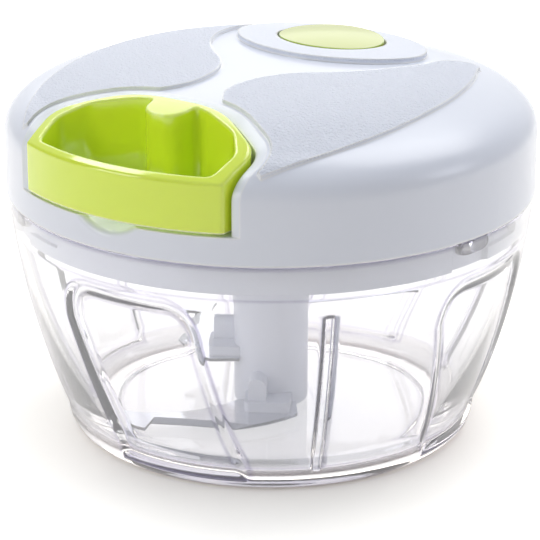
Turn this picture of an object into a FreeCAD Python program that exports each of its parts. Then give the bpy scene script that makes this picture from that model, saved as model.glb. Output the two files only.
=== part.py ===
import FreeCAD
import Part
import Sketcher
import math
import os

# Pull-string food chopper: a clear bowl, a white domed lid with a cord reel inside,
# a lime loop handle on the cord and three staggered blades on a stem.
# Millimetres, +Z up. The origin is on the axis, on the surface that the foot stands on.
# The handle is pulled towards -Y. Bearings are counted from -Y, anticlockwise from above.

SIZES = {
    "foot_radius": 43.2, "corner_radius": 49.0, "corner_height": 6.0,
    "rim_radius": 62.2, "rim_height": 59.4, "bowl_bulge": 182.0,
    "floor_top": 2.4, "floor_reach": 41.0, "inner_corner_radius": 46.7, "inner_corner_height": 9.0,
    "rim_inner": 59.2, "rim_band_bottom": 51.0, "inner_bulge": 137.0,
    "foot_ring_inner": 38.0, "foot_ring_height": 1.0,
    "arch_depth": 1.1, "arch_bottom": 3.5, "arch_top": 50.5,
    "rib_width": 1.8, "rib_height": 1.6, "rib_bottom": 5.0, "rib_top": 47.0, "rib_bearing": 48.0,
    "peg_length": 10.0, "peg_height": 3.4, "peg_level": 57.3, "peg_reach": 57.6, "peg_root": 2.4,
    "pin_radius": 2.5, "pin_bottom": 1.8, "pin_top": 46.0, "pin_play": 0.05, "pin_point": 1.0,
    "pin_boss_radius": 5.0, "pin_boss_top": 12.0, "pin_boss_bottom": 2.0, "pin_boss_draft": 0.4,
    "lid_radius": 62.5, "lid_bottom": 59.6, "lid_wall": 2.0, "crown_height": 88.0,
    "crown_drop": 1.7, "crown_reach": 40.0, "shoulder_start": 59.5, "shoulder_bottom": 73.8,
    "panel_raise": 0.8, "leaf_margin": 4.2, "bevel_width": 2.4, "bevel_depth": 1.0,
    "plinth_raise": 1.3, "plinth_centre": 25.2, "plinth_half_width": 24.9, "plinth_half_depth": 17.4,
    "cap_half_width": 13.5, "cap_half_depth": 10.4, "cap_gap": 0.6,
    "cap_recess_floor": 87.0, "cap_edge": 89.4, "cap_crown": 90.0,
    "handle_bottom": 67.0, "handle_raise": 0.6, "handle_radius": 62.8, "handle_wall": 2.3,
    "handle_gap": 0.9, "handle_rounding": 0.9, "finger_rounding": 0.6, "upright_rounding": 1.2,
    "finger_corner": 2.6, "handle_back": 35.0, "cord_level": 74.5,
    "ledge_top": 66.2, "ledge_bottom": 63.4, "pocket_wall": 1.8,
    "notch_radius": 12.0, "notch_reach": 54.5, "notch_level": 76.5, "notch_rounding": 1.6,
    "eyelet_radius": 3.2, "eyelet_bore": 1.5, "eyelet_flange": 4.4, "eyelet_lip": 1.2,
    "post_boss_bottom": 80.0, "post_boss_wall": 2.5,
    "base_bottom": 61.2, "base_top": 63.0, "base_radius": 60.3,
    "skirt_outer": 58.8, "skirt_inner": 55.8, "skirt_bottom": 52.3,
    "channel_floor": 57.3, "channel_bottom": 55.3, "channel_top": 59.4,
    "channel_span": 25.0, "mouth_span": 12.0,
    "collar_outer": 12.4, "collar_inner": 10.2, "collar_bottom": 54.5,
    "seal_inner": 58.9, "seal_outer": 60.2, "seal_bottom": 59.45, "seal_top": 61.1,
    "journal_radius": 8.8, "journal_clearance": 0.06, "journal_bottom": 60.8,
    "reel_bottom": 63.6, "reel_radius": 27.0, "flange": 1.5, "drum_radius": 18.9,
    "reel_top": 78.1, "spring_floor": 66.8, "spring_room": 16.5, "socket_top": 65.6,
    "spigot_radius": 6.8, "socket_clearance": 0.05, "hub_flats": 12.4, "hub_bottom": 51.0,
    "hub_shoulder": 60.6, "hub_bore": 4.0, "washer_room": 5.5,
    "post_radius": 4.0, "post_bottom": 65.4, "post_top": 84.5,
    "screw_head_radius": 3.3, "screw_head_height": 2.1, "washer_radius": 5.2, "washer_height": 0.8,
    "cord_radius": 1.1, "winding_radius": 20.0, "winding_pitch": 2.72, "winding_middle": 70.85,
    "cord_bend": 26.5, "bend_reach": 3.6, "knot_radius": 2.2, "knot_length": 2.2, "knot_start": 3.8,
    "knot_chamber": 2.4, "handle_bore": 1.25,
    "stem_radius": 9.0, "stem_bottom": 2.9, "stem_top": 60.0, "stem_bore": 2.55,
    "socket_flats": 12.6, "socket_bottom": 49.5,
    "blade_thickness": 0.8, "blade_low": 4.0, "blade_step": 11.3,
    "clip_width": 11.0, "clip_reach": 14.9, "clip_height": 2.7, "clip_rib": 4.4, "clip_rise": 8.6,
    "screw_circle": 50.0, "boss_radius": 3.4, "pilot_radius": 1.25, "screw_hole": 1.6,
    "pan_radius": 2.7, "pan_height": 1.7, "pan_rounding": 0.9, "shank_length": 9.5,
}

AXIS = FreeCAD.Vector(0, 0, 1)
ORIGIN = FreeCAD.Vector(0, 0, 0)

doc = FreeCAD.newDocument("food_chopper")
sheet = doc.addObject("Spreadsheet::Sheet", "Sizes")
for row, (alias, number) in enumerate(SIZES.items(), start=1):
    sheet.set(f"A{row}", alias)
    sheet.set(f"B{row}", str(number))
    sheet.setAlias(f"B{row}", alias)
doc.recompute()

nodes = []


def size(formula):
    """Value of a sum of sheet names and numbers, such as 'rim_radius - lid_wall'."""
    total = 0.0
    sign = 1.0
    for word in formula.split():
        if word in ("+", "-"):
            sign = 1.0 if word == "+" else -1.0
        elif word[0].isdigit():
            total += sign * float(word)
        else:
            total += sign * float(sheet.get(word))
    return total


def bound(formula):
    """The same sum as an expression that reads the sheet."""
    words = []
    for word in formula.split():
        plain = word in ("+", "-") or word[0].isdigit()
        words.append(word if plain else "Sizes." + word)
    return " ".join(words)


def bind(thing, **formulas):
    for name, formula in formulas.items():
        thing.setExpression(name, bound(formula))


def keep(thing, label):
    thing.Label = label
    nodes.append(thing)
    return thing


def at_bearing(bearing, radius, level=0.0):
    turn = math.radians(bearing)
    return FreeCAD.Vector(radius * math.sin(turn), -radius * math.cos(turn), level)


# Sketched bodies

def plane(body, role):
    return next(item for item in body.Origin.OriginFeatures if item.Role == role)


def outline(body, name, corners, role="XZ_Plane", turn=0.0, lift=None):
    """A closed sketch through corners given as pairs of sums, each bound to the sheet."""
    sketch = body.newObject("Sketcher::SketchObject", name)
    sketch.AttachmentSupport = [(plane(body, role), "")]
    sketch.MapMode = "FlatFace"
    if turn:
        sideways = FreeCAD.Rotation(FreeCAD.Vector(0, 1, 0), turn)
        sketch.AttachmentOffset = FreeCAD.Placement(ORIGIN, sideways)
    if lift:
        sketch.setExpression("AttachmentOffset.Base.z", bound(lift))
    spots = [FreeCAD.Vector(size(x), size(y), 0) for x, y in corners]
    count = len(spots)
    for i in range(count):
        sketch.addGeometry(Part.LineSegment(spots[i], spots[(i + 1) % count]), False)
    for i in range(count):
        sketch.addConstraint(Sketcher.Constraint("Coincident", i, 2, (i + 1) % count, 1))
    for i, (x, y) in enumerate(corners):
        for kind, formula in (("DistanceX", x), ("DistanceY", y)):
            index = sketch.addConstraint(Sketcher.Constraint(kind, -1, 1, i, 1, size(formula)))
            sketch.setExpression(f"Constraints[{index}]", bound(formula))
    return sketch


def turned(label, corners):
    """A body turned about the axis from a profile of (radius, height) corners."""
    body = doc.addObject("PartDesign::Body", label)
    sketch = outline(body, label + "_profile", corners)
    turning = body.newObject("PartDesign::Revolution", label + "_turning")
    turning.Profile = sketch
    turning.ReferenceAxis = (sketch, ["V_Axis"])
    turning.Angle = 360
    sketch.Visibility = False
    doc.recompute()
    return body


def groove(body, name, corners, span, turn=0.0):
    """Cuts a ring sector of the given span, centred on the +X side and turned from there."""
    before = body.Shape.Volume
    sketch = outline(body, name + "_profile", corners, turn=turn)
    cut = body.newObject("PartDesign::Groove", name)
    cut.Profile = sketch
    cut.ReferenceAxis = (sketch, ["V_Axis"])
    cut.Midplane = True
    bind(cut, Angle=span)
    doc.recompute()
    assert body.Shape.Volume < before, name
    return cut


def ring_pattern(body, name, features, count):
    pattern = body.newObject("PartDesign::PolarPattern", name)
    pattern.Originals = features
    pattern.Axis = (plane(body, "Z_Axis"), [""])
    pattern.Angle = 360
    pattern.Occurrences = count
    body.Tip = pattern
    doc.recompute()
    return pattern


def hexagon(body, name, flats, low, high, cut):
    """A hexagonal prism or pocket between two heights, its size given across the flats."""
    sketch = body.newObject("Sketcher::SketchObject", name + "_outline")
    sketch.AttachmentSupport = [(plane(body, "XY_Plane"), "")]
    sketch.MapMode = "FlatFace"
    sketch.setExpression("AttachmentOffset.Base.z", bound(high if cut else low))
    reach = size(flats) / math.sqrt(3.0)
    corners = [FreeCAD.Vector(reach * math.cos(turn), reach * math.sin(turn), 0)
               for turn in (math.radians(60 * i) for i in range(6))]
    for i in range(6):
        sketch.addGeometry(Part.LineSegment(corners[i], corners[(i + 1) % 6]), False)
    circle = sketch.addGeometry(Part.Circle(ORIGIN, AXIS, reach), True)
    for i in range(6):
        sketch.addConstraint(Sketcher.Constraint("Coincident", i, 2, (i + 1) % 6, 1))
        sketch.addConstraint(Sketcher.Constraint("PointOnObject", i, 1, circle))
    for i in range(1, 6):
        sketch.addConstraint(Sketcher.Constraint("Equal", 0, i))
    sketch.addConstraint(Sketcher.Constraint("Coincident", circle, 3, -1, 1))
    sketch.addConstraint(Sketcher.Constraint("PointOnObject", 0, 1, -1))
    index = sketch.addConstraint(Sketcher.Constraint("Radius", circle, reach))
    sketch.setExpression(f"Constraints[{index}]", bound(flats) + " / sqrt(3)")
    kind = "PartDesign::Pocket" if cut else "PartDesign::Pad"
    feature = body.newObject(kind, name)
    feature.Profile = sketch
    feature.setExpression("Length", bound(high + " - " + low))
    doc.recompute()
    return feature


# Solids from Part's own operations

def solid(name, shape):
    """A construction solid whose sizes were read from the sheet."""
    thing = doc.addObject("Part::Feature", name)
    thing.Shape = shape
    return thing


def joined(kind, name, base, *tools):
    if kind == "Part::Cut" and len(tools) > 1:
        tools = (joined("Part::MultiFuse", name + "_tools", *tools),)
    thing = doc.addObject(kind, name)
    if kind in ("Part::MultiFuse", "Part::MultiCommon"):
        thing.Shapes = [base, *tools]
    else:
        thing.Base = base
        thing.Tool = tools[0]
    thing.Refine = True
    doc.recompute()
    return thing


def spun(edges):
    """The solid that a closed wire in the XZ plane sweeps round the axis."""
    return Part.Face(Part.Wire(edges)).revolve(ORIGIN, AXIS, 360)


def line(start, end):
    return Part.LineSegment(FreeCAD.Vector(*start), FreeCAD.Vector(*end)).toShape()


def bulged(start, end, radius):
    """An arc in the XZ plane from start up to end that bulges away from the axis."""
    a = FreeCAD.Vector(*start)
    b = FreeCAD.Vector(*end)
    chord = b - a
    outward = FreeCAD.Vector(chord.z, 0, -chord.x).normalize()
    rise = radius - math.sqrt(radius ** 2 - (chord.Length / 2) ** 2)
    return Part.Arc(a, (a + b) / 2 + outward * rise, b).toShape()


def prism(points, low, high):
    """An upright prism over a closed outline: a point joins by a line, a triple by an arc."""
    spots = []
    edges = []
    for item in points + [points[0]]:
        via = item[0] if isinstance(item[0], tuple) else None
        spot = FreeCAD.Vector(*(item[1] if via else item), low)
        if spots and (spot - spots[-1]).Length > 1e-6:
            if via:
                edges.append(Part.Arc(spots[-1], FreeCAD.Vector(*via, low), spot).toShape())
            else:
                edges.append(Part.LineSegment(spots[-1], spot).toShape())
        spots.append(spot)
    return Part.Face(Part.Wire(edges)).extrude(FreeCAD.Vector(0, 0, high - low))


def oval(half_width, half_depth, centre, low, high):
    """An upright elliptical prism centred on the Y axis."""
    ring = Part.Ellipse(FreeCAD.Vector(0, centre, low), half_width, half_depth)
    return Part.Face(Part.Wire(ring.toShape())).extrude(FreeCAD.Vector(0, 0, high - low))


def copies(shape, bearings):
    """The shape once for each bearing, turned about the axis."""
    turned_shapes = []
    for bearing in bearings:
        item = shape.copy()
        item.rotate(ORIGIN, AXIS, bearing)
        turned_shapes.append(item)
    return turned_shapes


def compound(name, shapes):
    return solid(name, Part.makeCompound(shapes))


# The bowl

PEG_BEARINGS = (83.5, 203.5, 323.5)


def bowl_form(inset, outer):
    """The solid inside the bowl's outer or inner surface, drawn in by an inset."""
    if outer:
        foot, corner, level = size("foot_radius"), size("corner_radius"), size("corner_height")
        rim, floor, bend, bulge = size("rim_radius"), 0.0, size("rim_height"), size("bowl_bulge")
    else:
        foot, corner = size("floor_reach"), size("inner_corner_radius")
        level, floor = size("inner_corner_height"), size("floor_top")
        rim, bend, bulge = size("rim_inner"), size("rim_band_bottom"), size("inner_bulge")
    top = size("rim_height") + (0.0 if outer else 1.0)
    foot -= inset
    corner -= inset
    rim -= inset
    middle = FreeCAD.Vector((foot + corner) / 2 + 1.3, 0, (floor + level) / 2 - 1.5)
    edges = [line((0, 0, floor), (foot, 0, floor)),
             Part.Arc(FreeCAD.Vector(foot, 0, floor), middle, FreeCAD.Vector(corner, 0, level)).toShape(),
             bulged((corner, 0, level), (rim, 0, bend), bulge)]
    if not outer:
        edges.append(line((rim, 0, bend), (rim, 0, top)))
    edges += [line((rim, 0, top), (0, 0, top)), line((0, 0, top), (0, 0, floor))]
    return spun(edges)


def arch_prism(inset):
    """The leaning arch of a wall panel, extruded outwards from the axis towards -Y."""
    low, high = size("arch_bottom"), size("arch_top") - inset
    left = [(-8.2 + inset, low), (-9.6 + inset, 12.0), (-16.4 + inset, 39.0)]
    right = [(20.6 - inset, 39.0), (23.2 - inset, 12.0), (24.4 - inset, low)]
    spots = [FreeCAD.Vector(x, -30, z) for x, z in left]
    edges = [Part.Arc(spots[0], spots[1] + FreeCAD.Vector(0.2, 0, -2), spots[1]).toShape(),
             Part.LineSegment(spots[1], spots[2]).toShape()]
    peak_left = FreeCAD.Vector(-6.5, -30, high)
    peak_right = FreeCAD.Vector(11.5, -30, high)
    shoulder_left = FreeCAD.Vector(-14.4 + inset * 0.7, -30, 47.2 - inset * 0.7)
    shoulder_right = FreeCAD.Vector(18.6 - inset * 0.7, -30, 47.0 - inset * 0.7)
    ends = [FreeCAD.Vector(x, -30, z) for x, z in right]
    edges.append(Part.Arc(spots[2], shoulder_left, peak_left).toShape())
    edges.append(Part.LineSegment(peak_left, peak_right).toShape())
    edges.append(Part.Arc(peak_right, shoulder_right, ends[0]).toShape())
    edges.append(Part.LineSegment(ends[0], ends[1]).toShape())
    edges.append(Part.LineSegment(ends[1], ends[2]).toShape())
    edges.append(Part.LineSegment(ends[2], spots[0]).toShape())
    return Part.Face(Part.Wire(edges)).extrude(FreeCAD.Vector(0, -40, 0))


def bowl():
    quarters = (0, 90, 180, 270)
    depth = size("arch_depth")
    outer = solid("bowl_outside", bowl_form(0.0, True))
    inner = solid("bowl_inside", bowl_form(0.0, False))
    skin = bowl_form(0.0, True).cut(bowl_form(depth, True))
    recess = compound("arch_recesses", copies(skin.common(arch_prism(0.0)), quarters))
    lining = bowl_form(0.0, False).cut(bowl_form(depth, False))
    pads = compound("arch_pads", copies(lining.common(arch_prism(depth)), quarters))
    width, rise = size("rib_width"), size("rib_height")
    start = FreeCAD.Vector(-width / 2, -66, size("rib_bottom"))
    bar = Part.makeBox(width, 30, size("rib_top - rib_bottom"), start)
    band = bowl_form(-0.6, False).cut(bowl_form(rise, False))
    turns = [quarter + size("rib_bearing") for quarter in quarters]
    ribs = compound("wall_ribs", copies(bar.common(band), turns))
    pegs = compound("rim_pegs", copies(peg(), PEG_BEARINGS))
    ring = doc.addObject("Part::Cylinder", "foot_hollow")
    bind(ring, Radius="foot_ring_inner", Height="foot_ring_height")
    boss = doc.addObject("Part::Cone", "pin_boss")
    bind(boss, Radius1="pin_boss_radius", Radius2="pin_boss_radius - pin_boss_draft",
         Height="pin_boss_top - pin_boss_bottom")
    boss.setExpression("Placement.Base.z", bound("pin_boss_bottom"))
    seat = doc.addObject("Part::Cylinder", "pin_seat")
    bind(seat, Radius="pin_radius", Height="pin_boss_top")
    seat.setExpression("Placement.Base.z", bound("pin_bottom"))
    shell = joined("Part::Cut", "bowl_shell", outer, inner, recess, ring)
    whole = joined("Part::MultiFuse", "bowl_moulding", shell, pads, ribs, pegs, boss)
    keep(joined("Part::Cut", "bowl_drilled", whole, seat), "bowl")


def peg():
    """An oval bayonet peg on the rim's inner face, at bearing 0."""
    half = size("peg_length") / 2
    rise = size("peg_height") / 2
    level = size("peg_level")
    reach = size("peg_reach")
    flat = half - rise
    corner = [FreeCAD.Vector(x, -reach, z) for x, z in
              ((-flat, level - rise), (flat, level - rise), (flat, level + rise), (-flat, level + rise))]
    edges = [Part.LineSegment(corner[0], corner[1]).toShape(),
             Part.Arc(corner[1], FreeCAD.Vector(half, -reach, level), corner[2]).toShape(),
             Part.LineSegment(corner[2], corner[3]).toShape(),
             Part.Arc(corner[3], FreeCAD.Vector(-half, -reach, level), corner[0]).toShape()]
    return Part.Face(Part.Wire(edges)).extrude(FreeCAD.Vector(0, -size("peg_root"), 0))


def centre_pin():
    """A round steel pin with a bevelled upper end."""
    body = turned("centre_pin", [("0", "pin_bottom"), ("pin_radius", "pin_bottom"),
                                 ("pin_radius", "pin_top - pin_point"),
                                 ("pin_radius - pin_point", "pin_top"), ("0", "pin_top")])
    keep(body, "centre_pin")


# The lid

def crown(radius):
    """Height of the lid's crown at a radius: almost flat in the middle, falling faster outwards."""
    return size("crown_height") - size("crown_drop") * (radius / size("crown_reach")) ** 4


def lid_form(raise_by):
    """The solid under the lid's outer surface, moved outwards by raise_by."""
    wall = size("lid_radius") + raise_by
    radii = [0.0, 14.0, 26.0, 36.0, 44.0, 51.0, size("shoulder_start")]
    spots = [FreeCAD.Vector(r, 0, crown(r) + raise_by) for r in radii]
    foot = FreeCAD.Vector(wall, 0, size("shoulder_bottom"))
    brow = FreeCAD.Vector(wall - 0.8, 0, size("shoulder_bottom + 3.3"))
    dome = Part.BSplineCurve()
    dome.interpolate(Points=spots + [brow, foot], InitialTangent=FreeCAD.Vector(1, 0, 0),
                     FinalTangent=FreeCAD.Vector(0, 0, -1))
    bottom = size("lid_bottom")
    edges = [dome.toShape(), line((wall, 0, foot.z), (wall, 0, bottom)),
             line((wall, 0, bottom), (0, 0, bottom)), line((0, 0, bottom), (0, 0, spots[0].z))]
    return spun(edges)


# The flanks narrow so little towards the front that the widest point passes the pocket's mouth.
HANDLE_CORNERS = [(11.0, -35.0, 24.0), (28.2, -45.4, 6.0), (26.8, -63.1, 0.0)]
FINGER_CORNERS = [(4.6, -43.7, 4.0), (5.9, -37.0, 1.4), (9.4, -37.9, 6.0), (20.0, -42.6, 7.0),
                  (24.8, -48.4, 4.0), (22.4, -64.2, 0.0)]


def rounded_prism(half, low, high, grow=0.0):
    """An upright prism over a symmetrical polygon: right-hand corners as (x, y, rounding)."""
    corners = half + [(-x, y, r) for x, y, r in reversed(half)]
    edges = []
    starts = []
    ends = []
    for i, (x, y, rounding) in enumerate(corners):
        spot = FreeCAD.Vector(x, y, low)
        before = FreeCAD.Vector(*corners[i - 1][:2], low) - spot
        after = FreeCAD.Vector(*corners[(i + 1) % len(corners)][:2], low) - spot
        bend = before.getAngle(after) / 2
        reach = rounding / math.tan(bend)
        starts.append(spot + before.normalize() * reach)
        ends.append(spot + after.normalize() * reach)
        if rounding:
            middle = spot + (before + after).normalize() * (rounding / math.sin(bend) - rounding)
            edges.append(Part.Arc(starts[i], middle, ends[i]).toShape())
    for i in range(len(corners)):
        edges.append(Part.LineSegment(ends[i - 1], starts[i]).toShape())
    face = Part.Face(Part.Wire(Part.__sortEdges__(edges)))
    if grow:
        face = face.makeOffset2D(grow)
    return face.extrude(FreeCAD.Vector(0, 0, high - low))


def upper_edges(shape, level):
    return [edge for edge in shape.Edges if edge.BoundBox.ZMin > level]


def upright_edges(shape, beyond):
    """The straight upright edges further than a given distance in front of the axis."""
    return [edge for edge in shape.Edges
            if edge.BoundBox.ZLength > 5 and edge.BoundBox.YLength < 0.01 and edge.BoundBox.YMax < -beyond]


def panel_outline():
    """Plan of the raised leaf on the right of the neck; the left one is its mirror image."""
    return [(12.0, -33.4), ((5.6, -26.0), (5.0, -19.0)), ((7.6, -9.6), (14.0, -2.2)),
            ((24.0, 9.4), (28.6, 24.0)), ((29.2, 30.6), (31.2, 36.0)), ((33.6, 37.4), (35.4, 34.8)),
            ((43.9, 14.2), (46.6, -6.2)), ((43.0, -31.4), (33.2, -50.6)), (30.4, -50.0),
            ((23.4, -40.8), (12.0, -33.4))]


def flipped(outline_points):
    return [((-item[0][0], item[0][1]), (-item[1][0], item[1][1])) if isinstance(item[0], tuple)
            else (-item[0], item[1]) for item in outline_points]


def lid_shell():
    """The dome with its raised leaves and plinth, the handle's pocket and the bosses inside."""
    low, high = 60.0, 95.0
    gap, ledge, level = size("handle_gap"), size("ledge_top"), size("cord_level")
    crown_form = lid_form(0.0)
    margin = rounded_prism(HANDLE_CORNERS, low - 1, high + 1, size("leaf_margin"))
    raised = lid_form(size("panel_raise"))
    leaves = compound("leaf_panels", [prism(shape, low, high).cut(margin).common(raised) for shape in
                                      (panel_outline(), flipped(panel_outline()))])
    plinth = oval(size("plinth_half_width"), size("plinth_half_depth"), size("plinth_centre"), low, high)
    plinth = solid("cap_plinth", plinth.common(lid_form(size("plinth_raise"))))
    full = joined("Part::MultiFuse", "lid_blank", solid("lid_outside", crown_form), leaves, plinth)
    hollow = joined("Part::Cut", "lid_hollow", full, solid("lid_cavity", lid_cavity(size("lid_wall"))))
    around = rounded_prism(HANDLE_CORNERS, size("ledge_bottom"), high, gap + size("pocket_wall"))
    walled = joined("Part::MultiFuse", "lid_walled", hollow, solid("pocket_walls", around.common(crown_form)))
    pocket = solid("handle_pocket", rounded_prism(HANDLE_CORNERS, ledge, high, gap))
    bevelled = bevel_pocket(joined("Part::Cut", "lid_cupped", walled, pocket), gap)
    floor = oval(size("cap_half_width + 2"), size("cap_half_depth + 2"), size("plinth_centre"),
                 size("cap_recess_floor") - 1.4, size("cap_recess_floor") + 1.0)
    post_boss = doc.addObject("Part::Cylinder", "post_boss")
    bind(post_boss, Radius="post_radius + post_boss_wall", Height="crown_height - 1 - post_boss_bottom")
    post_boss.setExpression("Placement.Base.z", bound("post_boss_bottom"))
    bosses = compound("screw_bosses", [item.common(crown_form) for item in screw_bosses()])
    built = joined("Part::MultiFuse", "lid_built", bevelled, post_boss, bosses, solid("seat_floor", floor))
    pilots = compound("pilot_holes", copies(Part.makeCylinder(size("pilot_radius"), 9.0,
                      at_bearing(0, size("screw_circle"), size("base_top") - 0.5)), SCREW_BEARINGS))
    post_hole = doc.addObject("Part::Cylinder", "post_hole")
    bind(post_hole, Radius="post_radius", Height="post_top - post_boss_bottom + 1")
    post_hole.setExpression("Placement.Base.z", bound("post_boss_bottom - 1"))
    start = FreeCAD.Vector(0, -size("notch_reach"), size("notch_level"))
    sloping = FreeCAD.Vector(0, -1, -0.06)
    notch = solid("finger_notch", Part.makeCylinder(size("notch_radius"), 12.0, start, sloping))
    start = FreeCAD.Vector(0, -size("handle_back") - 5.0, level)
    guide = solid("eyelet_hole", Part.makeCylinder(size("eyelet_radius"), 12.0, start,
                                                   FreeCAD.Vector(0, 1, 0)))
    moulding = joined("Part::Cut", "lid_moulding", built, cap_seat(), pilots, post_hole, notch, guide)
    keep(soften_notch(moulding), "lid_shell")


def bevel_pocket(cupped, gap):
    """Bevels the pocket's rim: wide along the crown, shallow down the pocket's wall."""
    back = -size("handle_back") + gap
    found = [i for i, edge in enumerate(cupped.Shape.Edges, start=1)
             if abs(edge.BoundBox.YMax - back) < 0.01 and edge.BoundBox.YLength < 0.01
             and edge.BoundBox.ZMin > crown(-back) - 0.2]
    bevel = doc.addObject("Part::Chamfer", "pocket_bevel")
    bevel.Base = cupped
    bevel.Edges = [(i, size("bevel_width"), size("bevel_depth")) for i in found]
    doc.recompute()
    assert bevel.Shape.isValid() and bevel.Shape.Volume < cupped.Shape.Volume - 50
    return bevel


def soften_notch(moulding):
    """Rounds the finger notch over where it runs out through the lid's wall."""
    ledge, radius = size("ledge_top"), size("notch_rounding")
    found = []
    for i, edge in enumerate(moulding.Shape.Edges, start=1):
        box = edge.BoundBox
        if box.YMax < 1 - size("lid_radius") and abs(box.ZMax - ledge) < 0.01 and box.ZLength > 1.0:
            found.append(i)
    rounded = doc.addObject("Part::Fillet", "notch_shoulders")
    rounded.Base = moulding
    rounded.Edges = [(i, radius, radius) for i in found]
    doc.recompute()
    assert found and rounded.Shape.isValid() and rounded.Shape.Volume < moulding.Shape.Volume - 1
    return rounded


def lid_cavity(wall):
    """The space inside the lid, from its open bottom to a wall's thickness below the crown."""
    start = size("shoulder_start") - wall
    radii = [0.0, 18.0, 30.0, 40.0, 48.0, start]
    spots = [FreeCAD.Vector(r, 0, crown(r) - wall) for r in radii]
    dome = Part.BSplineCurve()
    dome.interpolate(Points=spots, InitialTangent=FreeCAD.Vector(1, 0, 0))
    inner = size("lid_radius") - wall - 0.1
    side = size("shoulder_bottom") - 0.5
    edges = [dome.toShape(), line((start, 0, spots[-1].z), (inner, 0, side)),
             line((inner, 0, side), (inner, 0, 50)), line((inner, 0, 50), (0, 0, 50)),
             line((0, 0, 50), (0, 0, spots[0].z))]
    return spun(edges)


SCREW_BEARINGS = (62.0, 148.0, 212.0, 298.0)


def screw_bosses():
    foot = at_bearing(0, size("screw_circle"), size("base_top") + 0.1)
    column = Part.makeCylinder(size("boss_radius"), 25.0, foot)
    return copies(column, SCREW_BEARINGS)


def cap_seat():
    """The oval recess that the cap snaps into."""
    gap = size("cap_gap")
    cut = oval(size("cap_half_width") + gap, size("cap_half_depth") + gap, size("plinth_centre"),
               size("cap_recess_floor"), 96.0)
    return solid("cap_recess", cut)


def centre_cap():
    """The oval cap: a low cushion with a softly crowned top."""
    width, depth, centre = size("cap_half_width"), size("cap_half_depth"), size("plinth_centre")
    bottom = size("cap_recess_floor")
    edge, top = size("cap_edge"), size("cap_crown")
    block = oval(width, depth, centre, bottom, top + 1)
    radius = (width ** 2) / (2 * (top - edge + 0.35))
    ball = Part.makeSphere(radius, FreeCAD.Vector(0, centre, top - radius))
    keep(solid("cap_cushion", block.common(ball)), "centre_cap")


def lid_base():
    """The cover under the lid, with its bayonet skirt and the collar round the drive."""
    profile = [("journal_radius + journal_clearance", "base_bottom"), ("collar_inner", "base_bottom"),
               ("collar_inner", "collar_bottom"), ("collar_outer", "collar_bottom"),
               ("collar_outer", "base_bottom"), ("skirt_inner", "base_bottom"),
               ("skirt_inner", "skirt_bottom"), ("skirt_outer", "skirt_bottom"),
               ("skirt_outer", "base_bottom"), ("base_radius", "base_bottom"),
               ("base_radius", "base_top"), ("journal_radius + journal_clearance", "base_top")]
    body = turned("base_body", profile)
    slot = groove(body, "bayonet_slot",
                  [("channel_floor", "channel_bottom"), ("skirt_outer + 1", "channel_bottom"),
                   ("skirt_outer + 1", "channel_top"), ("channel_floor", "channel_top")], "channel_span")
    turn = -size("channel_span - mouth_span") / 2
    mouth = groove(body, "bayonet_mouth",
                   [("channel_floor", "skirt_bottom - 1"), ("skirt_outer + 1", "skirt_bottom - 1"),
                    ("skirt_outer + 1", "channel_top"), ("channel_floor", "channel_top")], "mouth_span", turn)
    ring_pattern(body, "bayonet_ring", [slot, mouth], 3)
    below = at_bearing(0, size("screw_circle"), size("base_bottom") - 1)
    holes = compound("base_holes", copies(Part.makeCylinder(size("screw_hole"), 4.0, below), SCREW_BEARINGS))
    keep(joined("Part::Cut", "lid_base_drilled", body, holes), "lid_base")


def seal_ring():
    keep(turned("seal_ring", [("seal_inner", "seal_bottom"), ("seal_outer", "seal_bottom"),
                              ("seal_outer", "seal_top"), ("seal_inner", "seal_top")]), "seal_ring")


def lid_screws():
    """Four pan-head screws from below, through the cover into the lid's bosses."""
    level, circle, height = size("base_bottom"), size("screw_circle"), size("pan_height")
    head = Part.makeCylinder(size("pan_radius"), height, at_bearing(0, circle, level - height))
    rim = [edge for edge in head.Edges
           if abs(edge.BoundBox.ZMax - level + height) < 0.01 and edge.Closed]
    head = head.makeFillet(size("pan_rounding"), rim)
    slot = Part.makeBox(0.8, 3.4, 1.0, at_bearing(0, circle, level - 2.0) + FreeCAD.Vector(-0.4, -1.7, 0))
    cross = slot.copy()
    cross.rotate(at_bearing(0, circle), AXIS, 90)
    shank = Part.makeCylinder(size("pilot_radius"), size("shank_length"), at_bearing(0, circle, level))
    screw = head.fuse(shank).cut(slot.fuse(cross))
    keep(compound("screw_group", copies(screw, SCREW_BEARINGS)), "lid_screws")


def cord_eyelet():
    """A flanged bush in the pocket's back wall, flared on the side that the cord comes from."""
    level = size("cord_level")
    face = -size("handle_back - handle_gap")
    inner = face + size("pocket_wall")
    forward = FreeCAD.Vector(0, 1, 0)
    lip, hole = size("eyelet_lip"), size("eyelet_bore")
    at_face, at_wall = FreeCAD.Vector(0, face, level), FreeCAD.Vector(0, inner, level)
    bush = Part.makeCylinder(size("eyelet_radius"), inner + lip - face, at_face, forward)
    flange = Part.makeCylinder(size("eyelet_flange"), lip, at_wall, forward)
    bore = Part.makeCylinder(hole, 8.0, FreeCAD.Vector(0, face - 1, level), forward)
    flare = Part.makeCone(hole, hole + 1.1, lip + 0.1, at_wall, forward)
    keep(solid("eyelet_bush", bush.fuse(flange).cut(bore).cut(flare)), "cord_eyelet")


# The reel and its drive

def reel_post():
    """The steel post on which the reel turns, bored from below for its screw."""
    profile = [("0", "post_bottom + 8"), ("1.4", "post_bottom + 8"), ("1.4", "post_bottom"),
               ("post_radius", "post_bottom"), ("post_radius", "post_top"), ("0", "post_top")]
    keep(turned("reel_post", profile), "reel_post")


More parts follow.
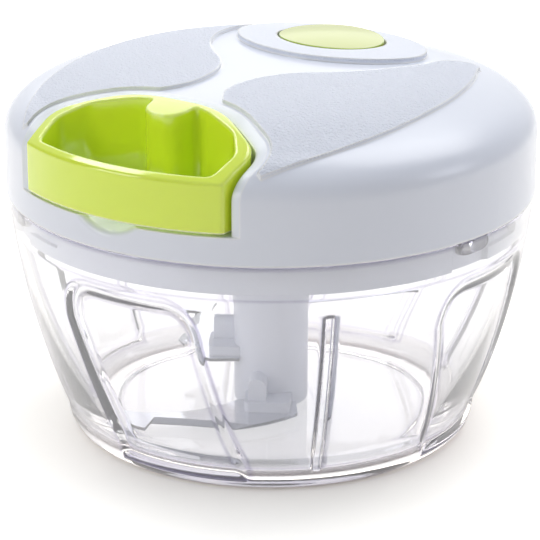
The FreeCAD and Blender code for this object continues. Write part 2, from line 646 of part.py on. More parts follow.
def post_screw():
    """The screw and washer that hold the reel up on its post."""
    keep(turned("post_screw", [("0", "post_bottom - washer_height - screw_head_height"),
                               ("screw_head_radius", "post_bottom - washer_height - screw_head_height"),
                               ("screw_head_radius", "post_bottom - washer_height"),
                               ("1.4", "post_bottom - washer_height"), ("1.4", "post_bottom + 7"),
                               ("0", "post_bottom + 7")]), "post_screw")
    keep(turned("post_washer", [("1.5", "post_bottom - washer_height"),
                                ("washer_radius", "post_bottom - washer_height"),
                                ("washer_radius", "post_bottom"), ("1.5", "post_bottom")]), "post_washer")


def cord_reel():
    """The drum between its flanges, hollow above for the spring, with the drive socket below."""
    profile = [("spigot_radius + socket_clearance", "journal_bottom"), ("journal_radius", "journal_bottom"),
               ("journal_radius", "reel_bottom"), ("reel_radius", "reel_bottom"),
               ("reel_radius", "reel_bottom + flange"), ("drum_radius", "reel_bottom + flange"),
               ("drum_radius", "reel_top - flange"), ("reel_radius", "reel_top - flange"),
               ("reel_radius", "reel_top"), ("spring_room + 1", "reel_top"),
               ("spring_room + 1", "reel_top - 0.9"), ("spring_room", "reel_top - 0.9"),
               ("spring_room", "spring_floor"), ("post_radius + journal_clearance", "spring_floor"),
               ("post_radius + journal_clearance", "socket_top"),
               ("spigot_radius + socket_clearance", "socket_top")]
    keep(turned("cord_reel", profile), "cord_reel")
    keep(turned("spring_cover", [("post_radius + 1", "reel_top - 0.9"),
                                 ("spring_room + 0.9", "reel_top - 0.9"),
                                 ("spring_room + 0.9", "reel_top"),
                                 ("post_radius + 1", "reel_top")]), "spring_cover")


def drive_hub():
    """A hexagonal driver under the reel, with a round spigot in the reel's socket."""
    body = turned("drive_hub", [("washer_room", "hub_shoulder"), ("spigot_radius", "hub_shoulder"),
                                ("spigot_radius", "socket_top"), ("washer_room", "socket_top")])
    hexagon(body, "driver", "hub_flats", "hub_bottom", "hub_shoulder", False)
    bore = body.newObject("PartDesign::SubtractiveCylinder", "driver_bore")
    bind(bore, Radius="hub_bore", Height="hub_shoulder - hub_bottom")
    bore.setExpression("AttachmentOffset.Base.z", bound("hub_bottom"))
    bore.AttachmentSupport = [(plane(body, "XY_Plane"), "")]
    bore.MapMode = "FlatFace"
    doc.recompute()
    keep(body, "drive_hub")


def biarc(start, start_way, end, end_way):
    """Two arcs that join two points and are tangent to the given unit directions there."""
    span = end - start
    a = 2 - 2 * start_way.dot(end_way)
    b = span.dot(start_way + end_way)
    reach = (math.sqrt(b * b + a * span.dot(span)) - b) / a
    first = start + start_way * reach
    second = end - end_way * reach
    joint = (first + second) / 2
    return [tangent_arc(start, first, joint), tangent_arc(joint, second, end)]


def tangent_arc(start, corner, end):
    """The arc from start to end whose end tangents meet in the corner."""
    middle = (start + end) / 2
    half = (end - start).Length / 2
    rise = corner - middle
    lean = math.atan2(rise.Length, half)
    return Part.Arc(start, middle + rise.normalize() * half * math.tan(lean / 2), end).toShape()


def tube(path, radius):
    """A round tube along a path that is smooth from end to end."""
    first = path.Edges[0]
    start = first.valueAt(first.FirstParameter)
    heading = first.tangentAt(first.FirstParameter)
    section = Part.Wire(Part.Circle(start, heading, radius).toShape())
    return path.makePipeShell([section], True, False)


def lead_off():
    """Bearing, as a plane angle in degrees, where the cord leaves the drum for its bend."""
    return -90.0 - math.degrees(math.acos(size("winding_radius") / size("cord_bend")))


def helix_point(angle, turned_by, level):
    """Point and unit direction on the winding's helix after turning by an angle in radians."""
    radius, pitch = size("winding_radius"), size("winding_pitch")
    a = angle + turned_by
    climb = pitch / (2 * math.pi)
    spot = FreeCAD.Vector(radius * math.cos(a), radius * math.sin(a), level + climb * turned_by)
    way = FreeCAD.Vector(-radius * math.sin(a), radius * math.cos(a), climb).normalize()
    return spot, way


def cord_winding():
    """One layer of cord on the drum: a helix of arcs with a short straight run at both ends."""
    wire, quarters = size("cord_radius"), 13
    sweep = quarters * math.pi / 2
    rise = size("winding_pitch") * quarters / 4
    begin = math.radians(lead_off()) - sweep
    level = size("winding_middle") - rise / 2
    spots = [helix_point(begin, i * math.pi / 2, level) for i in range(quarters + 1)]
    first, first_way = spots[0]
    last = spots[-1][0]
    last_way = (FreeCAD.Vector(0, -size("cord_bend"), size("cord_level")) - last).normalize()
    spots[-1] = (last, last_way)
    edges = [Part.LineSegment(first - first_way * 2 * wire, first).toShape()]
    for (start, way), (end, end_way) in zip(spots, spots[1:]):
        edges += biarc(start, way, end, end_way)
    edges.append(Part.LineSegment(last, last + last_way * 2 * wire).toShape())
    path = Part.Wire(edges)
    points = path.discretize(Number=400)
    apart = len(points) // quarters * 2
    gap = min((points[i] - points[j]).Length
              for i in range(len(points)) for j in range(i + apart, len(points)))
    print("cord winding: least gap to itself %.2f mm, length %.0f mm" % (gap - 2 * wire, path.Length))
    return tube(path, wire), last + last_way * 2 * wire


def recoil_spring():
    """A flat spiral strip between the post and the drum's wall."""
    inner, outer, turns, half = 4.25, 16.25, 6.5, 0.2
    low, high = size("spring_floor") + 0.4, size("reel_top") - 1.4
    steps = 13
    growth = (outer - inner) / turns

    def spiral(shift):
        spots = []
        for i in range(int(turns * steps) + 1):
            angle = 2 * math.pi * i / steps
            radius = inner + growth * i / steps + shift
            spots.append(FreeCAD.Vector(radius * math.cos(angle), radius * math.sin(angle), low))
        curve = Part.BSplineCurve()
        curve.interpolate(spots)
        return curve.toShape(), spots[0], spots[-1]

    near, near_start, near_end = spiral(-half)
    far, far_start, far_end = spiral(half)
    edges = [near, Part.LineSegment(near_end, far_end).toShape(), far,
             Part.LineSegment(far_start, near_start).toShape()]
    strip = Part.Face(Part.Wire(edges)).extrude(FreeCAD.Vector(0, 0, high - low))
    keep(solid("spiral_strip", strip), "recoil_spring")


# The handle and its cord

def handle_top():
    """The solid under the handle's top: one arc that follows the lid's crown out past its rim."""
    rise = size("handle_raise")
    spots = [FreeCAD.Vector(r, 0, crown(r) + rise) for r in (30.0, 50.0, 66.0)]
    low = size("handle_bottom")
    inner, outer = spots[0], spots[-1]
    edges = [Part.Arc(*spots).toShape(), line(outer, (outer.x, 0, low)),
             line((outer.x, 0, low), (inner.x, 0, low)), line((inner.x, 0, low), inner)]
    return spun(edges)


def pull_handle():
    """The loop handle: its top follows the lid's crown, with a through opening for the fingers."""
    low, level = size("handle_bottom"), size("cord_level")
    radius, back = size("handle_radius"), -size("handle_back")
    drum = Part.makeCylinder(radius, 40, FreeCAD.Vector(0, 0, low - 1))
    block = rounded_prism(HANDLE_CORNERS, low - 1, 95.0).common(drum)
    rounding = size("upright_rounding")
    block = block.makeFillet(rounding, upright_edges(block, 56.0)).common(handle_top())
    block = block.makeFillet(size("handle_rounding"), upper_edges(block, low + 5))
    room = Part.makeCylinder(radius - size("handle_wall"), 40, FreeCAD.Vector(0, 0, low - 2))
    opening = rounded_prism(FINGER_CORNERS, low - 2, 96.0).common(room)
    opening = opening.makeFillet(size("finger_corner"), upright_edges(opening, 54.5))
    loop = block.cut(opening)
    mouth = [edge for edge in upper_edges(loop, low + 5)
             if opening.common(edge).Length > 0.99 * edge.Length]
    loop = loop.makeFillet(size("finger_rounding"), mouth)
    forward = FreeCAD.Vector(0, -1, 0)
    bore = Part.makeCylinder(size("handle_bore"), 5.0, FreeCAD.Vector(0, back + 1, level), forward)
    inside = FreeCAD.Vector(0, back - 3.6, level)
    chamber = Part.makeCylinder(size("knot_chamber"), 2.6, inside, forward)
    keep(solid("handle_loop", loop.cut(bore).cut(chamber)), "pull_handle")
    start = FreeCAD.Vector(0, back - size("knot_start"), level)
    knot = Part.makeCylinder(size("knot_radius"), size("knot_length"), start, forward)
    grip = Part.makeCylinder(size("cord_radius") + 0.05, size("knot_length"), start, forward)
    keep(solid("cord_ferrule", knot.cut(grip)), "cord_anchor")


def cord_lead(leave):
    """The cord's free run: off the drum, round a bend before the eyelet and into the handle's boss."""
    height = size("cord_level")
    bend = FreeCAD.Vector(0, -size("cord_bend"), height)
    end = FreeCAD.Vector(0, -size("handle_back") - 5.9, height)
    run_in = (leave - bend).normalize()
    run_out = (end - bend).normalize()
    reach = size("bend_reach")
    near = bend + run_in * reach
    far = bend + run_out * reach
    path = Part.Wire([Part.LineSegment(leave, near).toShape(), tangent_arc(near, bend, far),
                      Part.LineSegment(far, end).toShape()])
    print("cord lead: bend radius %.1f mm, length %.0f mm" % (reach * math.tan(run_in.getAngle(run_out) / 2),
                                                              path.Length))
    return tube(path, size("cord_radius"))


def cord():
    winding, leave = cord_winding()
    keep(solid("winding_tube", winding), "cord_winding")
    keep(solid("lead_tube", cord_lead(leave)), "cord_lead")


# The blades

def blade_shape():
    """One blade at bearing 0: root beside the stem, sharpened front edge, hooked tip."""
    tang = 3.0
    root = size("stem_radius") + 0.15
    side = -math.sqrt(root ** 2 - tang ** 2)
    points = [(7.4, -14.5), ((0.9, -19.8), (-6.7, -23.4)), ((-17.0, -22.0), (-27.3, -21.5)),
              (-28.2, -25.0), ((-33.3, -21.8), (-35.4, -16.4)),
              ((-22.0, -16.2), (-10.0, -9.9)), (-7.2, -6.6),
              ((-5.4, -side_point(root, 5.4)), (-tang, side)), (-tang, -6.0), (tang, -6.0), (tang, side),
              ((5.0, -side_point(root, 5.0)), (6.6, -7.2))]
    plate = prism(points, 0.0, size("blade_thickness"))
    front = [edge for edge in plate.Edges
             if edge.BoundBox.ZMin > 0.1 and edge.BoundBox.YMax < -21.0 and edge.Length > 15.0]
    assert front, "the blade's front edge"
    return plate.makeChamfer(0.6, 2.2, front)


def side_point(radius, across):
    return math.sqrt(radius ** 2 - across ** 2)


BLADE_BEARINGS = (31.3, -58.7, -148.7)


def blades():
    for step, (name, bearing) in enumerate(zip(("low", "mid", "high"), BLADE_BEARINGS)):
        level = size("blade_low") + step * size("blade_step")
        blade = doc.addObject("Part::Feature", "blade_plate_" + name)
        blade.Shape = blade_shape()
        blade.Placement = FreeCAD.Placement(FreeCAD.Vector(0, 0, level), FreeCAD.Rotation(AXIS, bearing))
        blade.setExpression("Placement.Base.z", bound("blade_low" + " + blade_step" * step))
        keep(blade, "blade_" + name)
        clip = doc.addObject("Part::Feature", "clip_block_" + name)
        clip.Shape = clip_shape()
        clip.Placement = FreeCAD.Placement(FreeCAD.Vector(0, 0, level + size("blade_thickness")),
                                           FreeCAD.Rotation(AXIS, bearing))
        above = "blade_thickness + blade_low" + " + blade_step" * step
        clip.setExpression("Placement.Base.z", bound(above))
        keep(clip, "blade_clip_" + name)


def clip_shape():
    """The moulded wedge on a blade's root: a rounded foot and a round-topped rib."""
    width, reach, height = size("clip_width"), size("clip_reach"), size("clip_height")
    foot = Part.makeBox(width, 9, height, FreeCAD.Vector(-width / 2, -reach, 0))
    corners = [edge for edge in foot.Edges
               if edge.BoundBox.ZLength > height - 0.1 and edge.BoundBox.YMax < -reach + 0.1]
    foot = foot.makeFillet(1.4, corners)
    half, rise = size("clip_rib") / 2, size("clip_rise")
    aside, front, length = -2.4, -reach + 1.0, 7.2
    rib = Part.makeBox(2 * half, length, rise - half, FreeCAD.Vector(aside - half, front, 0))
    dome = Part.makeCylinder(half, length, FreeCAD.Vector(aside, front, rise - half),
                             FreeCAD.Vector(0, 1, 0))
    stem = Part.makeCylinder(size("stem_radius"), 40, FreeCAD.Vector(0, 0, -5))
    return foot.fuse(rib).fuse(dome).cut(stem).removeSplitter()


def blade_stem():
    """The hollow stem that turns on the pin: a foot recess, a bearing bore and a drive socket."""
    body = turned("stem_body", [("pin_boss_radius + 0.4", "stem_bottom"),
                                ("stem_radius - 0.6", "stem_bottom"),
                                ("stem_radius", "stem_bottom + 0.6"), ("stem_radius", "stem_top"),
                                ("0", "stem_top"), ("0", "pin_top + pin_play"),
                                ("stem_bore", "pin_top + pin_play"),
                                ("stem_bore", "pin_boss_top + 1"),
                                ("pin_boss_radius + 0.4", "pin_boss_top + 1")])
    hexagon(body, "socket", "socket_flats", "socket_bottom", "stem_top", True)
    corner = FreeCAD.Vector(-3.1, -11.9, -0.05)
    slot = Part.makeBox(6.2, 6.0, size("blade_thickness") + 0.1, corner)
    slots = []
    for step, bearing in enumerate(BLADE_BEARINGS):
        item = slot.copy()
        item.rotate(ORIGIN, AXIS, bearing)
        item.translate(FreeCAD.Vector(0, 0, size("blade_low") + step * size("blade_step")))
        slots.append(item)
    keep(joined("Part::Cut", "stem_slotted", body, compound("tang_slots", slots)), "blade_stem")


def check_and_write():
    """Stops on any failed object, then writes each sub-part to a file of its own."""
    doc.recompute()
    for thing in doc.Objects:
        bad = [word for word in thing.State if word in ("Invalid", "Error")]
        assert not bad, (thing.Name, thing.State)
    os.makedirs("parts", exist_ok=True)
    for node in nodes:
        shape = node.Shape
        assert not shape.isNull() and shape.isValid() and shape.Solids, node.Label
        box = shape.BoundBox
        spans = (box.XMin, box.XMax, box.YMin, box.YMax, box.ZMin, box.ZMax)
        print("%-16s %2d solid %10.0f mm3  x %.1f %.1f  y %.1f %.1f  z %.1f %.1f" % (
            node.Label, len(shape.Solids), shape.Volume, *spans))
        shape.exportStep("parts/" + node.Label + ".step")


bowl()
centre_pin()
lid_shell()
centre_cap()
lid_base()
seal_ring()
lid_screws()
cord_eyelet()
reel_post()
post_screw()
cord_reel()
drive_hub()
recoil_spring()
cord()
pull_handle()
blade_stem()
blades()
check_and_write()
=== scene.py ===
# %% [markdown]
# # A pull-string food chopper
# The real object is a clear tapering bowl under a white domed lid. A lime loop handle sits flush
# in the lid; pulling it unwinds a cord and spins three blades on a stem. The solids come from the
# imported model. This lesson gives each one its finish, and replaces the clear bowl, whose looks need
# a smoother surface than a solid's triangles have.

# %% Load the frame
import bpy
import math
import numpy as np
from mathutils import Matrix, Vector


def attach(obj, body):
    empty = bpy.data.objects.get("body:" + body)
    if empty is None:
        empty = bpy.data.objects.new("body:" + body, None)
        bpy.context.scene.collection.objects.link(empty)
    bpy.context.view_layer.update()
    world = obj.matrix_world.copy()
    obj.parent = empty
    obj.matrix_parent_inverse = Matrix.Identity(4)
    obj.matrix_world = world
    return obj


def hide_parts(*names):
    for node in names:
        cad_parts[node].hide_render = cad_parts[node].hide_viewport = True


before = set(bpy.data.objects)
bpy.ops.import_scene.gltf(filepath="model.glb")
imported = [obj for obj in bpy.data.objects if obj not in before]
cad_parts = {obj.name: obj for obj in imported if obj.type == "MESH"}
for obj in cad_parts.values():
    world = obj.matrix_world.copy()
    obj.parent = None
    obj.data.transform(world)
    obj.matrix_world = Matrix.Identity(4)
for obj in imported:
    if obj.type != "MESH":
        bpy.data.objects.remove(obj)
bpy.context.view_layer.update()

# %% [markdown]
# Colours are written as sRGB hex, as a paint chart gives them. Shaders add light, so each one is
# turned to linear first. One helper adds any node with its settings and its links, and another
# starts a material from its colour and its roughness.

# %% Colour and node helpers
MM = 0.001


def linear(code):
    """sRGB hex to linear RGBA: v/12.92 below 0.04045, else ((v + 0.055)/1.055) to the power 2.4."""
    v = np.array([int(code[i:i + 2], 16) for i in (1, 3, 5)]) / 255
    v = np.where(v <= 0.04045, v / 12.92, ((v + 0.055) / 1.055) ** 2.4)
    return (*v.tolist(), 1.0)


def add(tree, kind, inputs=(), **settings):
    """Adds a node; inputs maps a socket's name or number to a value or to another node's output."""
    node = tree.nodes.new(kind)
    for name, value in settings.items():
        setattr(node, name, value)
    for name, value in dict(inputs).items():
        if isinstance(value, bpy.types.NodeSocket):
            tree.links.new(value, node.inputs[name])
        else:
            node.inputs[name].default_value = value
    return node


def finish(name, colour, roughness, **sockets):
    """A Principled material; sockets are its own inputs, with _ for each space."""
    made = bpy.data.materials.new(name)
    made.use_nodes = True
    shader = made.node_tree.nodes["Principled BSDF"]
    shader.inputs["Base Color"].default_value = linear(colour)
    shader.inputs["Roughness"].default_value = roughness
    for key, value in sockets.items():
        shader.inputs[key.replace("_", " ")].default_value = value
    return made, made.node_tree, shader

# %% [markdown]
# Two things make a moulding look real up close. Its skin has a fine grain, drawn as bump from a
# noise of a real size. And no moulded edge is sharp: a Bevel node averages the normal over a small
# radius, which rounds the light on an edge without any geometry. Where that average leans off the
# surface's own normal an edge is near, so the same measure glosses edges and paints light or shade
# onto them: a painted highlight where the edge colour is paler, painted shade where it is darker.

# %% Grain and edges
EDGE_STARTS, EDGE_FULL = 0.995, 0.96
EDGE_SAMPLES = 6


def grain(tree, shader, size, depth, stretch=(1, 1, 1), mask=None, rounding=0.0):
    """Fine bump: noise of one size in metres, raised by depth in metres, stretched per axis.
    A mask keeps it to part of the surface, and rounding softens the light on edges to that radius."""
    place = add(tree, "ShaderNodeTexCoord")
    turned = add(tree, "ShaderNodeMapping", {"Vector": place.outputs["Object"], "Scale": stretch})
    noise = add(tree, "ShaderNodeTexNoise", {"Vector": turned.outputs[0], "Scale": 1 / size})
    bump = add(tree, "ShaderNodeBump", {"Height": noise.outputs[0], "Distance": depth,
                                        "Strength": 1.0 if mask is None else mask})
    if rounding:
        averaged = add(tree, "ShaderNodeBevel", {"Radius": rounding}, samples=EDGE_SAMPLES)
        tree.links.new(averaged.outputs[0], bump.inputs["Normal"])
    tree.links.new(bump.outputs[0], shader.inputs["Normal"])


def paint_edge_light_and_shade(tree, shader, colour, radius, painted_edge_colour):
    """Glosses edges and paints light or shade onto them in the edge colour, weighted as the cosine
    between the normal averaged over the radius and the own normal falls from EDGE_STARTS to EDGE_FULL.
    The colour off the edges is a socket or a plain one."""
    averaged = add(tree, "ShaderNodeBevel", {"Radius": radius}, samples=EDGE_SAMPLES)
    own = add(tree, "ShaderNodeNewGeometry")
    alike = add(tree, "ShaderNodeVectorMath", {0: averaged.outputs[0], 1: own.outputs["Normal"]},
                operation="DOT_PRODUCT")
    leaning = add(tree, "ShaderNodeMapRange", {"Value": alike.outputs["Value"], "From Min": EDGE_STARTS,
                                               "From Max": EDGE_FULL})
    # The edge colour is painted light or shade: a paler one paints a highlight, a darker one paints shade.
    painted_tint = add(tree, "ShaderNodeMix", {0: leaning.outputs[0], 6: colour, 7: linear(painted_edge_colour)},
                 data_type="RGBA")
    tree.links.new(painted_tint.outputs[2], shader.inputs["Base Color"])
    plain_coat = shader.inputs["Coat Weight"].default_value
    polished = add(tree, "ShaderNodeMath", {0: leaning.outputs[0], 1: plain_coat}, operation="MAXIMUM")
    tree.links.new(polished.outputs[0], shader.inputs["Coat Weight"])

# %% [markdown]
# The lid is ABS, injection moulded. Its two leaves were spark eroded in the mould to a fine grain,
# which scatters light softly; the neck and the wall are polished and show highlights, and the
# plinth under the cap is satin, between the two. One material does it all by the height over the
# crown, which is 88 mm - 1.7 mm (r / 40 mm)^4: the leaves stand 0.8 mm over it, the plinth higher.

# %% White ABS
ABS_INDEX = 1.53
CROWN, CROWN_DROP, CROWN_REACH = 88 * MM, 1.7 * MM, 40 * MM
LEAF_FROM, LEAF_FULL, LEAF_TO, PLINTH_FROM = 0.5 * MM, 0.65 * MM, 0.95 * MM, 1.1 * MM
PLINTH_SHARE = 0.4
POLISHED, ERODED = 0.27, 0.5
POLISHED_WHITE, ERODED_WHITE = "#EAEEF8", "#E2E6F1"


def leaf_mask(tree):
    """1 on the leaves, PLINTH_SHARE on the satin plinth, 0 elsewhere, by the height over the crown."""
    place = add(tree, "ShaderNodeTexCoord")
    xyz = add(tree, "ShaderNodeSeparateXYZ", {0: place.outputs["Object"]})
    x2 = add(tree, "ShaderNodeMath", {0: xyz.outputs[0], 1: xyz.outputs[0]}, operation="MULTIPLY")
    r2 = add(tree, "ShaderNodeMath", {0: xyz.outputs[1], 1: xyz.outputs[1], 2: x2.outputs[0]},
             operation="MULTIPLY_ADD")
    part = add(tree, "ShaderNodeMath", {0: r2.outputs[0], 1: CROWN_REACH ** 2}, operation="DIVIDE")
    fourth = add(tree, "ShaderNodeMath", {0: part.outputs[0], 1: 2.0}, operation="POWER")
    above = add(tree, "ShaderNodeMath", {0: fourth.outputs[0], 1: CROWN_DROP, 2: xyz.outputs[2]},
                operation="MULTIPLY_ADD")
    rising = add(tree, "ShaderNodeMapRange", {"Value": above.outputs[0], "From Min": CROWN + LEAF_FROM,
                                              "From Max": CROWN + LEAF_FULL})
    ending = add(tree, "ShaderNodeMapRange", {"Value": above.outputs[0], "From Min": CROWN + LEAF_TO,
                                              "From Max": CROWN + PLINTH_FROM, "To Min": 1.0,
                                              "To Max": PLINTH_SHARE})
    both = add(tree, "ShaderNodeMath", {0: rising.outputs[0], 1: ending.outputs[0]}, operation="MULTIPLY")
    return both.outputs[0]


# Moulded ABS, satin and dull on the leaves. Real spark erosion is about 0.1 mm wide and too fine
# to show, so it is drawn at 0.6 mm, and its depth only sets how strongly it shades.
white, tree, shader = finish("abs_white_moulded", POLISHED_WHITE, POLISHED, IOR=ABS_INDEX)
leaves = leaf_mask(tree)
grain(tree, shader, 0.6 * MM, 0.55 * MM, mask=leaves, rounding=0.8 * MM)
dulled = add(tree, "ShaderNodeMapRange", {"Value": leaves, "To Min": POLISHED, "To Max": ERODED})
tree.links.new(dulled.outputs[0], shader.inputs["Roughness"])
whites = add(tree, "ShaderNodeMix", {0: leaves, 6: linear(POLISHED_WHITE), 7: linear(ERODED_WHITE)},
             data_type="RGBA")
# The edges are painted pure white, a painted highlight; the coat raised on them is real gloss.
paint_edge_light_and_shade(tree, shader, whites.outputs[2], 0.8 * MM, "#FFFFFF")
# The inner white pieces come from a plain mould: smooth, a little greyer, with soft edges.
smooth_white, tree, shader = finish("abs_white_smooth", "#D8DBE5", 0.3, IOR=ABS_INDEX)
grain(tree, shader, 3 * MM, 0.004 * MM, rounding=0.4 * MM)
print(white.name, "for the lid,", smooth_white.name, "for what is under it")

# %% [markdown]
# The handle and the cap are lime ABS. The handle comes from a polished mould: its coat gives sharp
# highlights, its edges are painted a whitish lime as a painted highlight, and a little light scatters
# under its skin, which keeps the lime bright in its own shade. The cap's lime is paled, partly as a
# painted reflection on its top, and its rim is painted a deep lime line of painted shade.

# %% Lime ABS
LIME, LIME_EDGE_HIGHLIGHT = "#E2F838", "#FAFCDC"
CAP_LIME_AND_REFLECTION, CAP_RIM_SHADE = "#C9D274", "#B2D222"
# Gloss moulded ABS: wet-looking highlights over a saturated colour.
lime, tree, shader = finish("abs_lime_moulded", LIME, 0.14, IOR=ABS_INDEX, Coat_Weight=0.8,
                            Coat_Roughness=0.08, Subsurface_Weight=0.12,
                            Subsurface_Radius=(4 * MM, 5 * MM, 0.8 * MM), Subsurface_Scale=1.0)
grain(tree, shader, 2.5 * MM, 0.005 * MM, rounding=0.7 * MM)
# Its edges are painted a whitish lime: a painted highlight, over the real extra gloss of the coat.
paint_edge_light_and_shade(tree, shader, linear(LIME), 0.6 * MM, LIME_EDGE_HIGHLIGHT)
# The same ABS with less gloss, so the cap's top shows one soft reflection. Its paled lime
# partly paints that reflection in, and the deep lime on its rim is painted shade.
cap_lime, tree, shader = finish("abs_lime_cap", CAP_LIME_AND_REFLECTION, 0.2, IOR=ABS_INDEX, Coat_Weight=0.2,
                                Coat_Roughness=0.1)
grain(tree, shader, 2.5 * MM, 0.005 * MM, rounding=0.5 * MM)
paint_edge_light_and_shade(tree, shader, linear(CAP_LIME_AND_REFLECTION), 0.6 * MM, CAP_RIM_SHADE)
print(lime.name, "for the handle,", cap_lime.name, "for the cap")

# %% [markdown]
# The bowl is clear SAN, moulded. Where the wall is even, light passes almost straight; where it
# turns a corner, at an arch, a rib or the rim, the light bends and leaves the grey strokes by which
# the eye finds the shape. The index is SAN's own, 1.57. The "edge" value, stored on the surface,
# gives the corners a lilac tint that is painted shade, standing in for those strokes and for the
# seam's shadow under the lid. Seen edge-on the wall is deep, so its tint gathers there and draws the
# outline, darkened further by painted shade. Lamps shine through, because the real bowl is bright
# inside, and the shadow of the thick foot is deeper and warmer than that of the thin wall.

# %% Clear SAN
CLEAR, CORNER_STROKE_SHADE, CORNER_SHARE = "#FBFBFD", "#ACA7C4", 0.9
DEEP_TINT_AND_SHADE, DEEP_SHARE, DEEP_POWER = "#8B87A2", 0.6, 8.0
WALL_SHADE, FOOT_SHADE = "#FAFAFC", "#D0C4BC"
FOOT_SHADE_FROM, FOOT_SHADE_FULL = 10 * MM, 3 * MM
# Clear moulded SAN: glass-like, with crisp highlights on its skin.
clear, tree, shader = finish("san_clear_moulded", CLEAR, 0.015, IOR=1.57, Transmission_Weight=0.93,
                             Coat_Weight=0.6, Coat_Roughness=0.02)
# The edge value paints lilac-grey shade onto the corners and the rim's top: painted shade for the strokes
# of bent light and the seam under the lid.
marked = add(tree, "ShaderNodeAttribute", attribute_name="edge")
cornered = add(tree, "ShaderNodeMath", {0: marked.outputs["Fac"], 1: CORNER_SHARE}, operation="MULTIPLY")
painted_tint = add(tree, "ShaderNodeMix", {0: cornered.outputs[0], 6: linear(CLEAR), 7: linear(CORNER_STROKE_SHADE)},
             data_type="RGBA")
tree.links.new(painted_tint.outputs[2], shader.inputs["Base Color"])
place = add(tree, "ShaderNodeTexCoord")
xyz = add(tree, "ShaderNodeSeparateXYZ", {0: place.outputs["Object"]})
foot = add(tree, "ShaderNodeMapRange", {"Value": xyz.outputs[2], "From Min": FOOT_SHADE_FROM,
                                        "From Max": FOOT_SHADE_FULL})
shade = add(tree, "ShaderNodeMix", {0: foot.outputs[0], 6: linear(WALL_SHADE), 7: linear(FOOT_SHADE)},
            data_type="RGBA")
# Seen edge-on, the see-through share turns deep lilac-grey: partly the tint gathering in the deep wall,
# partly painted shade that draws the outline.
slant = add(tree, "ShaderNodeLayerWeight", {"Blend": 0.5})
grazing = add(tree, "ShaderNodeMath", {0: slant.outputs["Facing"], 1: DEEP_POWER}, operation="POWER")
deep = add(tree, "ShaderNodeMath", {0: grazing.outputs[0], 1: DEEP_SHARE}, operation="MULTIPLY")
rays = add(tree, "ShaderNodeLightPath")
passing = add(tree, "ShaderNodeMath", {0: deep.outputs[0], 1: rays.outputs["Is Shadow Ray"]},
              operation="MAXIMUM")
toned = add(tree, "ShaderNodeMix", {0: rays.outputs["Is Shadow Ray"], 6: linear(DEEP_TINT_AND_SHADE),
                                    7: shade.outputs[2]}, data_type="RGBA")
see_through = add(tree, "ShaderNodeBsdfTransparent", {"Color": toned.outputs[2]})
mixed = add(tree, "ShaderNodeMixShader", {0: passing.outputs[0], 1: shader.outputs[0],
                                          2: see_through.outputs[0]})
tree.links.new(mixed.outputs[0], tree.nodes["Material Output"].inputs["Surface"])
print(clear.name, "for the bowl")

# %% [markdown]
# The metals keep the default index, because a metal's colour is its reflection. Grinding and
# drawing leave lines along the work, made by stretching the noise. The blades' bevels are ground a
# second time, and whatever isn't level is painted darker: partly the rougher grind, partly a
# painted reflection of the dim side of the room.

# %% Metals
BLADE_FLAT, BEVEL_GRIND_AND_PAINTED_REFLECTION = "#E4E5E9", "#74767E"
BEVEL_FULL, BEVEL_ENDS = 0.9, 0.99
# Ground stainless: bright, with a brushed gloss.
blade_steel, tree, shader = finish("stainless_ground", BLADE_FLAT, 0.14, Metallic=1.0)
grain(tree, shader, 0.5 * MM, 0.006 * MM, stretch=(1, 0.05, 1))
facing = add(tree, "ShaderNodeNewGeometry")
upward = add(tree, "ShaderNodeSeparateXYZ", {0: facing.outputs["Normal"]})
level = add(tree, "ShaderNodeMath", {0: upward.outputs[2]}, operation="ABSOLUTE")
# Faces that aren't level are painted darker: partly the rougher second grind, partly a painted reflection
# of the room's dim side.
sloping = add(tree, "ShaderNodeMapRange", {"Value": level.outputs[0], "From Min": BEVEL_FULL,
                                           "From Max": BEVEL_ENDS, "To Min": 1.0, "To Max": 0.0})
bevel_grind_and_painted_reflection = add(tree, "ShaderNodeMix", {0: sloping.outputs[0], 6: linear(BLADE_FLAT), 7: linear(BEVEL_GRIND_AND_PAINTED_REFLECTION)},
             data_type="RGBA")
tree.links.new(bevel_grind_and_painted_reflection.outputs[2], shader.inputs["Base Color"])
# Drawn stainless bar: fine lines along the pin and the post.
pin_steel, tree, shader = finish("stainless_drawn", "#C4C5C8", 0.22, Metallic=1.0)
grain(tree, shader, 0.4 * MM, 0.006 * MM, stretch=(1, 1, 0.02))
# Zinc plate: a dull, slightly cloudy silver.
zinc_steel, tree, shader = finish("zinc_plated_steel", "#B0B2B6", 0.35, Metallic=1.0)
grain(tree, shader, 0.6 * MM, 0.01 * MM)
# Blued strip: dark steel with a cold tone.
spring_steel, tree, shader = finish("blued_spring_strip", "#5A6070", 0.3, Metallic=1.0)
grain(tree, shader, 0.6 * MM, 0.01 * MM)
print(blade_steel.name, pin_steel.name, zinc_steel.name, spring_steel.name)

# %% [markdown]
# The seal is moulded silicone, soft and dull. The cord is braided nylon: its strands are drawn as
# a coarse bump, and a sheen stands for their fluff. The reel is acetal, a waxy engineering plastic.

# %% Rubber, cord and reel
silicone, tree, shader = finish("silicone_moulded", "#DFE1E4", 0.5, IOR=1.41)
grain(tree, shader, 0.8 * MM, 0.01 * MM)
nylon, tree, shader = finish("nylon_braided", "#E8E7E2", 0.7, Sheen_Weight=0.3)
grain(tree, shader, 0.7 * MM, 0.2 * MM)
reel_grey, tree, shader = finish("acetal_moulded", "#D6D8DA", 0.4)
grain(tree, shader, 2 * MM, 0.01 * MM)
print(silicone.name, nylon.name, reel_grey.name)

# %% [markdown]
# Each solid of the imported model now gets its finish. A solid that has material slots gets it in
# each of them; one without gets its first slot.

